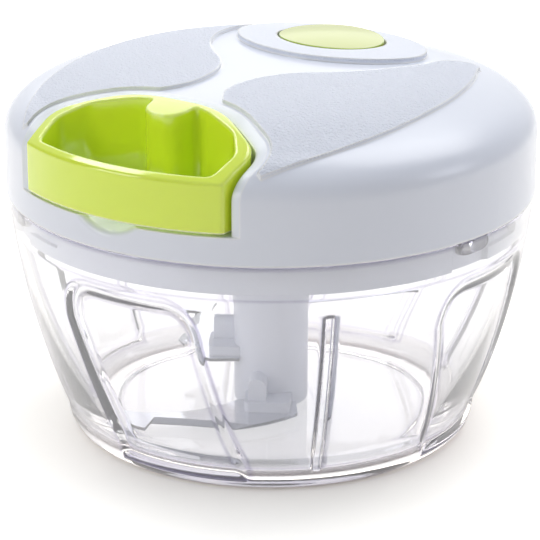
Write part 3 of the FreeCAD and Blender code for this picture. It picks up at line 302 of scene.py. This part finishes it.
# %% Give the solids their finishes
FINISHES = {
    "bowl": clear, "centre_pin": pin_steel, "seal_ring": silicone, "lid_shell": white,
    "lid_base": smooth_white, "lid_screws": zinc_steel, "centre_cap": cap_lime,
    "cord_eyelet": zinc_steel, "reel_post": pin_steel, "post_screw": zinc_steel,
    "post_washer": zinc_steel, "recoil_spring": spring_steel, "cord_reel": reel_grey,
    "spring_cover": zinc_steel, "drive_hub": smooth_white, "cord_winding": nylon,
    "pull_handle": lime, "cord_anchor": zinc_steel, "cord_lead": nylon,
    "blade_stem": smooth_white, "blade_low": blade_steel, "blade_mid": blade_steel,
    "blade_high": blade_steel, "blade_clip_low": smooth_white, "blade_clip_mid": smooth_white,
    "blade_clip_high": smooth_white,
}
for node, made in FINISHES.items():
    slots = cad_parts[node].material_slots
    if not slots:
        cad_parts[node].data.materials.append(made)
    for slot in slots:
        slot.material = made
print(len(FINISHES), "solids finished")

# %% [markdown]
# The bowl is one injection moulding in clear SAN. A clear piece shows every facet, so it isn't left
# to the solid's triangles: it is one closed surface swept round the axis. Its section runs from the
# middle of the underside, up the outer wall, over the rim and down the inner wall to the pin's seat.
# Lengths here are in millimetres, and a point of the section is a radius and a height.

# %% The bowl's section
FOOT, CORNER, RIM = (43.2, 0.0), (49.0, 6.0), (62.2, 59.4)
INNER_FOOT, INNER_CORNER, INNER_BAND = (41.0, 2.4), (46.7, 9.0), (59.2, 51.0)
OUTER_BULGE, INNER_BULGE = 182.0, 137.0
UNDERSIDE = [(0.001, 1.0), (38.0, 1.0), (38.4, 0.0)]
BOSS = [(5.0, 2.4), (4.6, 12.0), (2.53, 12.0), (2.53, 1.8), (0.001, 1.8)]
BOW_OUT, BOW_DOWN = 1.3, 1.5
WALL_RADIUS = 40
STEP, EDGE_SOFTNESS = 0.05, 0.3


def through(a, b, c, count):
    """Points of the circle's arc a, b, c: centre from the two perpendicular bisectors."""
    a, b, c = (np.array(p, float) for p in (a, b, c))
    rows = np.array([b - a, c - a])
    centre = a + np.linalg.solve(rows, (rows ** 2).sum(1) / 2)
    radius = np.linalg.norm(a - centre)
    start, end = (math.atan2(*(p - centre)[::-1]) for p in (a, c))
    turn = np.linspace(start, end, count)[:, None]
    return centre + radius * np.hstack([np.cos(turn), np.sin(turn)])


def bulging(a, b, radius, count):
    """Arc of a given radius from a up to b, bulging away from the axis by r - sqrt(r2 - (L/2)2)."""
    a, b = np.array(a), np.array(b)
    chord = b - a
    length = np.hypot(*chord)
    out = np.array([chord[1], -chord[0]]) / length
    middle = (a + b) / 2 + out * (radius - math.sqrt(radius ** 2 - length ** 2 / 4))
    return through(a, middle, b, count)


def bowed(a, b):
    """The middle of a and b, moved out and down, so that an arc through it rounds the corner."""
    return ((a[0] + b[0]) / 2 + BOW_OUT, (a[1] + b[1]) / 2 - BOW_DOWN)


def section_corners():
    """The half section's points before it is softened."""
    outside = [UNDERSIDE, through(FOOT, bowed(FOOT, CORNER), CORNER, 30),
               bulging(CORNER, RIM, OUTER_BULGE, 60)]
    inside = [[(INNER_BAND[0], RIM[1])], bulging(INNER_CORNER, INNER_BAND, INNER_BULGE, 60)[::-1],
              through(INNER_CORNER, bowed(INNER_CORNER, INNER_FOOT), INNER_FOOT, 30), BOSS]
    return np.vstack(outside + inside)


def softened(corners):
    """The path at even steps, averaged along itself with the weight exp(-(d / EDGE_SOFTNESS)^2)."""
    along = np.r_[0, np.cumsum(np.hypot(*np.diff(corners, axis=0).T))]
    even = np.arange(0, along[-1], STEP)
    fine = np.stack([np.interp(even, along, corners[:, k]) for k in (0, 1)], axis=1)
    reach = np.arange(-3 * EDGE_SOFTNESS, 3 * EDGE_SOFTNESS + STEP, STEP)
    weight = np.exp(-(reach / EDGE_SOFTNESS) ** 2)
    weight /= weight.sum()
    half = len(reach) // 2
    padded = np.pad(fine, ((half, half), (0, 0)), mode="edge")
    return np.stack([np.convolve(padded[:, k], weight, "valid")[:len(fine)] for k in (0, 1)], axis=1)

# %% [markdown]
# Four leaning arches are pressed into the wall, and four slim ribs stand between them inside. An
# arch is drawn on its panel in x, from the panel's middle, and z: two straight legs that lean, and
# above the spring line two superellipse corners. Rows of points crowd where the section turns and
# round the arches' tops, because refraction shows a coarse curve there at once.

# %% The arches, the ribs and the rows
ARCH_BOTTOM, ARCH_SPRING, ARCH_TOP, ARCH_DEPTH, ARCH_SLOPE = 3.5, 39.0, 50.5, 1.1, 3.0
LEG_HEIGHTS = (ARCH_BOTTOM, 12.0, ARCH_SPRING)
LEFT_LEG, RIGHT_LEG, LEG_COSINE = (-8.2, -9.6, -16.4), (24.4, 23.2, 20.6), 0.97
TOP_LEFT, LEFT_REACH, LEFT_POWER = -6.5, 9.9, 2.5
TOP_RIGHT, RIGHT_REACH, RIGHT_POWER = 11.5, 9.1, 2.3
RIB_HALF, RIB_FLANK, RIB_RISE = 0.9, 0.14, 1.6
RIB_BOTTOM, RIB_TOP, RIB_BEARING = 5.0, 47.0, 48.0
PLAIN_ROWS, TURNING_ROWS, MOST_TURNING, ARCH_ROWS = 1 / 1.4, 1.6, 3, 2.2
SHARP_TURN = 1.2


def section():
    """The softened half section as rows (radius, height), where it is inside, and how sharply it
    turns at each row, as its angle in radians per mm over SHARP_TURN."""
    soft = softened(section_corners())
    way = np.gradient(soft, axis=0)
    turning = np.abs(np.gradient(np.unwrap(np.arctan2(way[:, 1], way[:, 0])))) / STEP
    near_tops = (soft[:, 1] > ARCH_SPRING - 2) & (soft[:, 1] < ARCH_TOP + 1.5) & (soft[:, 0] > WALL_RADIUS)
    crowding = PLAIN_ROWS + np.minimum(turning, MOST_TURNING) * TURNING_ROWS + near_tops * ARCH_ROWS
    total = np.r_[0, np.cumsum(crowding[1:] * STEP)]
    number = np.arange(len(soft))
    picks = np.interp(np.linspace(0, total[-1], int(total[-1])), total, number)
    rows = np.stack([np.interp(picks, number, soft[:, k]) for k in (0, 1)], axis=1)
    summit = np.argmax(rows[:, 1] + rows[:, 0] * 1e-3)
    sharp = np.interp(picks, number, np.clip(turning / SHARP_TURN, 0, 1))
    return rows, np.arange(len(rows)) > summit, sharp


def smooth(value):
    """Smoothstep: 3v2 - 2v3 on 0 to 1."""
    v = np.clip(value, 0, 1)
    return v * v * (3 - 2 * v)


def leg(height, side):
    """Where an arch's straight leg stands, in mm from the panel's middle: side -1 left, 1 right."""
    return np.interp(height, LEG_HEIGHTS, LEFT_LEG if side < 0 else RIGHT_LEG)


def arch_distance(x, z, inset):
    """Distance inside an arch: straight legs below the spring line, superellipse corners above it."""
    low = np.minimum(x - leg(z, -1), leg(z, 1) - x) * LEG_COSINE
    rise = np.clip(z - ARCH_SPRING, 0, None) / (ARCH_TOP - ARCH_SPRING)
    left = np.clip((TOP_LEFT - x) / LEFT_REACH, 0, None)
    right = np.clip((x - TOP_RIGHT) / RIGHT_REACH, 0, None)
    bend = np.where(x < (TOP_LEFT + TOP_RIGHT) / 2,
                    (left ** LEFT_POWER + rise ** LEFT_POWER) ** (1 / LEFT_POWER),
                    (right ** RIGHT_POWER + rise ** RIGHT_POWER) ** (1 / RIGHT_POWER))
    high = (1 - bend) * LEFT_REACH
    return np.minimum(np.where(z < ARCH_SPRING, low, high), z - ARCH_BOTTOM) - inset

# %% [markdown]
# Every row has the same number of columns, so that rows join into even quads. The columns lean with
# the arches' legs and crowd on their slopes, because a slope that crosses the grid at an angle
# would show as a row of steps in the clear wall.

# %% The columns and the mesh
COLUMNS_HOLD_ABOVE = 47.0
CROWD_OUTSIDE, CROWD_INSIDE = 1.3, 3.4
COLUMN_COUNTS = (2, 2, 16, 13, 32, 13, 14, 2, 2)


def column_turns(radius, height):
    """Bearings of one quarter's columns at a height: they follow the ribs, the leaning legs and the
    start of the arch's corners. Inside the foot they keep its bearings, so that they never cross."""
    reach = max(radius, INNER_FOOT[0])
    held = min(height, COLUMNS_HOLD_ABOVE)
    over = max(held - ARCH_SPRING, 0) / (ARCH_TOP - ARCH_SPRING)
    bend = 1 - (1 - over ** LEFT_POWER) ** (1 / LEFT_POWER)
    left = (leg(held, -1) + LEFT_REACH * bend) / reach
    right = (leg(held, 1) - RIGHT_REACH * bend) / reach
    half, flank, outside, inside = (mm / reach for mm in (RIB_HALF, RIB_FLANK, CROWD_OUTSIDE, CROWD_INSIDE))
    first, last = math.radians(RIB_BEARING - 90), math.radians(RIB_BEARING)
    marks = [first, first + half - flank, first + half + flank, left - outside, left + inside,
             right - inside, right + outside, last - half - flank, last - half + flank, last]
    parts = [np.linspace(a, b, n, endpoint=False) for a, b, n in zip(marks, marks[1:], COLUMN_COUNTS)]
    return np.concatenate(parts)


def closed_mesh(name, points):
    """A mesh over a grid of rows of points: each row closes on itself, the end rows close to a fan."""
    count, around = points.shape[:2]
    index = np.arange(count * around).reshape(count, around)
    turned = np.roll(index, -1, axis=1)
    quads = np.stack([index[:-1], turned[:-1], turned[1:], index[1:]], axis=-1).reshape(-1, 4)
    ends = [index[0][::-1].tolist(), index[-1].tolist()]
    mesh = bpy.data.meshes.new(name)
    mesh.from_pydata(points.reshape(-1, 3).tolist(), [], quads.tolist() + ends)
    mesh.shade_smooth()
    return mesh


def piece(name, mesh, made, body, slot, *nodes):
    """An object for a new surface, with its finish, its body and the solids that it stands for."""
    thing = bpy.data.objects.new(name, mesh)
    mesh.materials.append(made)
    bpy.context.scene.collection.objects.link(thing)
    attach(thing, body)
    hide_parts(*nodes)


def carry_edge(mesh, edge):
    """Stores the edge value, 0 to 1, the weight of the painted lilac shade, on each of the mesh's points.
    """
    mesh.attributes.new("edge", "FLOAT", "POINT").data.foreach_set("value", edge.ravel().astype(np.float32))

# %% [markdown]
# The whole surface is one formula on the grid of rows and columns. The radius loses the arch's depth
# where an arch is pressed in, on both faces alike so that the wall stays even, and where a rib
# stands on the inner face. The edge value is worked out beside it: the weight of the painted lilac
# shade that stands in for the strokes of bent light.

# %% The bowl's surface
LINE_HALF = 0.34
SLOPE_FOOT_EDGE, INNER_CORNER_EDGE = 0.8, 0.2
RIB_BOTTOM_FADE, RIB_TOP_FADE = 1.0, 0.8
RIM_LINE, RIM_FADE = 0.6, 0.2


def line_at(distance, where):
    """A soft line: exp(-((d - d0) / half width)^2)."""
    return np.exp(-((distance - where) / LINE_HALF) ** 2)


def four_quarters(quarter):
    """One quarter's points turned by 0, 90, 180 and 270 degrees about the axis, side by side."""
    whole = []
    for k in range(4):
        c, s = math.cos(k * math.pi / 2), math.sin(k * math.pi / 2)
        x, y, z = np.moveaxis(quarter, -1, 0)
        whole.append(np.stack([c * x - s * y, s * x + c * y, z], axis=-1))
    return np.concatenate(whole, axis=1)


def bowl_points():
    """x = r sin t, y = -r cos t, z: r loses the arch's depth outside and inside, and the ribs' rise.
    The edge value, the weight of painted shade for the strokes of bent light, is 1 along both sides
    of each arch's slope, the ribs' flanks, the section's corners, the step below the rim's band and
    the rim's top, where it paints the seam's shadow, and weaker at the slope's foot and inside."""
    rows, inside, sharp = section()
    turns = np.array([column_turns(r, z) for r, z in rows])
    radius, height = (np.repeat(rows[:, k, None], turns.shape[1], axis=1) for k in (0, 1))
    inner = np.repeat(inside[:, None], turns.shape[1], axis=1)
    on_wall = radius > WALL_RADIUS
    away = arch_distance(radius * np.sin(turns), height, np.where(inner, ARCH_DEPTH, 0.0))
    pressed = ARCH_DEPTH * smooth(away / ARCH_SLOPE) * on_wall
    from_rib = np.minimum(np.abs(turns - turns[:, :1]),
                          np.abs(turns - math.radians(RIB_BEARING))) * radius
    ends = smooth((height - RIB_BOTTOM) / RIB_BOTTOM_FADE) * smooth((RIB_TOP - height) / RIB_TOP_FADE)
    flanks = smooth((RIB_HALF + RIB_FLANK - from_rib) / (2 * RIB_FLANK))
    raised = RIB_RISE * ends * flanks * inner * on_wall
    edge = (line_at(away, 0.0) + SLOPE_FOOT_EDGE * line_at(away, ARCH_SLOPE)) * on_wall
    edge = edge + line_at(from_rib, RIB_HALF) * ends * inner * on_wall
    edge = edge + sharp[:, None] * np.where(inner, INNER_CORNER_EDGE, 1.0)
    # The rim's top carries painted shade: a line standing in for the seam's shadow under the lid.
    seam_painted_shade = smooth((height - RIM[1] + RIM_LINE) / RIM_FADE)
    edge = edge + (line_at(height, INNER_BAND[1]) * inner + seam_painted_shade) * on_wall
    r = radius - pressed - raised
    quarter = np.stack([r * np.sin(turns), -r * np.cos(turns), height], axis=-1)
    return four_quarters(quarter) * MM, np.tile(np.clip(edge, 0, 1), (1, 4))


wall_points, wall_edge = bowl_points()
bowl_mesh = closed_mesh("bowl_surface", wall_points)
carry_edge(bowl_mesh, wall_edge)
piece("bowl_surface", bowl_mesh, clear, "bowl", "clear_bowl", "bowl")
print("bowl", len(bowl_mesh.vertices), "points")

# %% [markdown]
# Three oval pegs on the rim's inner face catch the lid's bayonet channels. Each is a short oval
# cushion: an ellipse-like outline that closes a little towards its rounded tip. They are too small
# for the bowl's grid of points, so each is a closed surface of its own that reaches into the wall.

# %% The bayonet pegs
PEG_HALF, PEG_RISE, PEG_LEVEL, PEG_REACH, PEG_ROOT = 5.0, 1.7, 57.3, 57.6, 59.6
PEG_AROUND, PEG_ALONG = 64, 14
PEG_TIP, PEG_CLOSING = 0.4, 0.12
PEG_EDGE, PEG_EDGE_FROM_TIP = 0.3, 0.4
PEG_BEARINGS = (83.5, 203.5, 323.5)


def peg_points(bearing):
    """(u, v): u round a stadium |cos|^0.6, |sin|^0.9, v from tip to root with a rounded tip."""
    u = np.linspace(0, 2 * math.pi, PEG_AROUND, endpoint=False)
    v = np.linspace(0, 1, PEG_ALONG)[:, None]
    swell = np.where(v < PEG_TIP, 1 - PEG_CLOSING * (1 - v / PEG_TIP) ** 2, 1.0)
    across = PEG_HALF * swell * np.sign(np.cos(u)) * np.abs(np.cos(u)) ** 0.6
    up = PEG_LEVEL + PEG_RISE * swell * np.sign(np.sin(u)) * np.abs(np.sin(u)) ** 0.9
    out = PEG_REACH + (PEG_ROOT - PEG_REACH) * v + 0 * u
    t = math.radians(bearing)
    x = out * math.sin(t) + across * math.cos(t)
    y = -out * math.cos(t) + across * math.sin(t)
    return np.stack([x, y, up], axis=-1) * MM


from_tip = np.linspace(0, PEG_ROOT - PEG_REACH, PEG_ALONG)
# A faint stroke of painted shade runs round each peg near its tip.
peg_edge = np.repeat(PEG_EDGE * line_at(from_tip, PEG_EDGE_FROM_TIP)[:, None], PEG_AROUND, axis=1)
for number, bearing in enumerate(PEG_BEARINGS, start=1):
    mesh = closed_mesh("bowl_peg_%d" % number, peg_points(bearing))
    carry_edge(mesh, peg_edge)
    piece("bowl_peg_%d" % number, mesh, clear, "bowl", "clear_bowl", "bowl")
print(len(PEG_BEARINGS), "pegs of", PEG_AROUND * PEG_ALONG, "points")

# %% [markdown]
# The photograph is a packshot on seamless white, and places in the studio are easiest to give as
# the photographer sees them: to the right, up and towards the camera. The camera stands 35.3
# degrees round from the handle's side of the chopper.

# %% Places as the photographer sees them
AZIMUTH = 35.3


def from_camera(right, up, towards):
    """A place given as the photographer sees it: right, up and towards the camera, in metres."""
    a = math.radians(AZIMUTH)
    return (right * math.cos(a) + towards * math.sin(a), right * math.sin(a) - towards * math.cos(a), up)


def seen_rays(tree):
    """The Light Path, and 1 for the rays that see: from the camera, through glass and off gloss."""
    rays = add(tree, "ShaderNodeLightPath")
    kinds = ("Is Camera Ray", "Is Transmission Ray", "Is Glossy Ray")
    straight, bent, mirrored = (rays.outputs[kind] for kind in kinds)
    looking = add(tree, "ShaderNodeMath", {0: straight, 1: bent}, operation="MAXIMUM")
    seeing = add(tree, "ShaderNodeMath", {0: looking.outputs[0], 1: mirrored}, operation="MAXIMUM")
    return rays, seeing.outputs[0]


print("the camera's right is", from_camera(1, 0, 0))

# %% [markdown]
# The floor is seamless white paper, dull and uncoated. For the rays that see, a glow lifts it to
# white without adding light to the object, and ambient occlusion takes the glow away close to the
# foot, so the soft warm contact shadow stays. Under the clear foot it glows a little more: painted
# light, standing in for the light that gathers there through the plastic.

# %% Floor
FLOOR_GLOW = 0.62
SHADOW_REACH = 30 * MM
UNDER_FROM, UNDER_FULL, UNDER_PAINTED_GLOW = 43.5 * MM, 42.5 * MM, 1.25
# Uncoated paper: white, with no highlight, faintly warm where the shadow falls.
paper_white, tree, shader = finish("paper_seamless_white", "#F9F3EA", 0.9)
rays, seeing = seen_rays(tree)
shader.inputs["Emission Color"].default_value = linear("#FBFDFD")
sky = add(tree, "ShaderNodeAmbientOcclusion", {"Distance": SHADOW_REACH}, samples=8)
place = add(tree, "ShaderNodeTexCoord")
from_axis = add(tree, "ShaderNodeVectorMath", {0: place.outputs["Object"]}, operation="LENGTH")
# Painted light: the floor under the clear foot glows more than elsewhere.
under = add(tree, "ShaderNodeMapRange", {"Value": from_axis.outputs["Value"], "From Min": UNDER_FROM,
                                         "From Max": UNDER_FULL, "To Max": UNDER_PAINTED_GLOW})
open_sky = add(tree, "ShaderNodeMath", {0: sky.outputs["AO"], 1: under.outputs[0]}, operation="MAXIMUM")
lift = add(tree, "ShaderNodeMath", {0: seeing, 1: FLOOR_GLOW}, operation="MULTIPLY")
glow = add(tree, "ShaderNodeMath", {0: lift.outputs[0], 1: open_sky.outputs[0]}, operation="MULTIPLY")
tree.links.new(glow.outputs[0], shader.inputs["Emission Strength"])
floor_mesh = bpy.data.meshes.new("floor")
floor_mesh.from_pydata([(-3, -3, 0), (3, -3, 0), (3, 3, 0), (-3, 3, 0)], [], [(0, 1, 2, 3)])
floor = bpy.data.objects.new("floor", floor_mesh)
floor.data.materials.append(paper_white)
bpy.context.scene.collection.objects.link(floor)
print(paper_white.name, "for the floor, 6 m wide")

# %% [markdown]
# The room lights the object evenly and weakly. The rays that see find white paper instead. Grey
# cards stand on both sides of it, as for glassware: the clear wall bends their grey into its
# outline, which would else be lost on white. They are painted into the world by direction, and the
# camera itself never sees them.

# %% World
ROOM_STRENGTH = 0.4
CARD_FROM, CARD_FULL = 0.35, 0.9
world = bpy.data.worlds.new("studio")
bpy.context.scene.world = world
world.use_nodes = True
tree = world.node_tree
tree.nodes.clear()
rays, seeing = seen_rays(tree)
room = add(tree, "ShaderNodeBackground", {"Color": linear("#E8ECF4"), "Strength": ROOM_STRENGTH})
place = add(tree, "ShaderNodeTexCoord")
sideways = add(tree, "ShaderNodeVectorMath", {0: place.outputs["Generated"], 1: from_camera(1, 0, 0)},
               operation="DOT_PRODUCT")
beside = add(tree, "ShaderNodeMath", {0: sideways.outputs["Value"]}, operation="ABSOLUTE")
card = add(tree, "ShaderNodeMapRange", {"Value": beside.outputs[0], "From Min": CARD_FROM,
                                        "From Max": CARD_FULL})
unseen = add(tree, "ShaderNodeMath", {0: 1.0, 1: rays.outputs["Is Camera Ray"]}, operation="SUBTRACT")
carded = add(tree, "ShaderNodeMath", {0: card.outputs[0], 1: unseen.outputs[0]}, operation="MULTIPLY")
backdrop = add(tree, "ShaderNodeMix", {0: carded.outputs[0], 6: linear("#FFFFFF"), 7: linear("#8E8D8B")},
               data_type="RGBA")
paper = add(tree, "ShaderNodeBackground", {"Color": backdrop.outputs[2], "Strength": 1.0})
chosen = add(tree, "ShaderNodeMixShader", {0: seeing, 1: room.outputs[0], 2: paper.outputs[0]})
add(tree, "ShaderNodeOutputWorld", {"Surface": chosen.outputs[0]})
print(world.name, "world")

# %% [markdown]
# A broad key light hangs above and a little behind, to the right. A smaller one to its left draws
# the white rims on the handle and the lid, and a wide one further back lights the lid's top. A
# softbox on each side leaves the middle of the lid's wall darkest, as in the photograph.

# %% Lamps


def lamp(name, place, aim, size, power, colour="#FFFFFF"):
    """A square area lamp that faces its aim: size in metres across, power in watts."""
    light = bpy.data.lights.new(name, "AREA")
    light.size = size
    light.energy = power
    light.color = linear(colour)[:3]
    thing = bpy.data.objects.new(name, light)
    thing.location = place
    thing.rotation_euler = (Vector(aim) - Vector(place)).to_track_quat("-Z", "Y").to_euler()
    bpy.context.scene.collection.objects.link(thing)


MIDDLE, LID = (0, 0, 0.05), (0, 0, 0.08)
lamp("key_softbox", from_camera(0.36, 0.83, -0.36), MIDDLE, 0.55, 3.2)
lamp("rim_softbox", from_camera(-0.39, 0.83, -0.40), LID, 0.3, 1.7)
lamp("back_softbox", from_camera(-0.05, 0.62, -0.95), LID, 0.7, 1.5)
lamp("left_softbox", from_camera(-0.8, 0.35, 0.35), MIDDLE, 0.35, 1.9)
lamp("right_softbox", from_camera(0.85, 0.4, 0.15), MIDDLE, 0.3, 1.0, "#F4F6FF")
print(len(bpy.data.lights), "softboxes")

# %% [markdown]
# The camera stands at the photograph's angle: 35.3 degrees round, as above, 19.39 degrees up and
# 650 mm away, with a long lens. These were fitted together until the outlines in the render fell
# on those in the photograph. The focal length and the small shift are in pixels of its 540.

# %% Camera
ELEVATION, DISTANCE, AIM_HEIGHT = 19.39, 0.650, 0.040
FRAME_PIXELS, FOCAL_PIXELS, SHIFT_X_PIXELS, SHIFT_Y_PIXELS = 540, 2713, -1.0, -12.4
SENSOR = 36
scene = bpy.context.scene
scene.view_settings.view_transform = "Standard"
camera = bpy.data.cameras.new("packshot")
camera.sensor_width = SENSOR
camera.lens = FOCAL_PIXELS / FRAME_PIXELS * SENSOR
camera.shift_x = SHIFT_X_PIXELS / FRAME_PIXELS
camera.shift_y = SHIFT_Y_PIXELS / FRAME_PIXELS
eye = bpy.data.objects.new("packshot", camera)
a, e = math.radians(AZIMUTH), math.radians(ELEVATION)
back = Vector((math.sin(a) * math.cos(e), -math.cos(a) * math.cos(e), math.sin(e)))
eye.location = Vector((0, 0, AIM_HEIGHT)) + back * DISTANCE
eye.rotation_euler = (-back).to_track_quat("-Z", "Y").to_euler()
scene.collection.objects.link(eye)
scene.camera = eye
print("lens", round(camera.lens, 1), "mm")
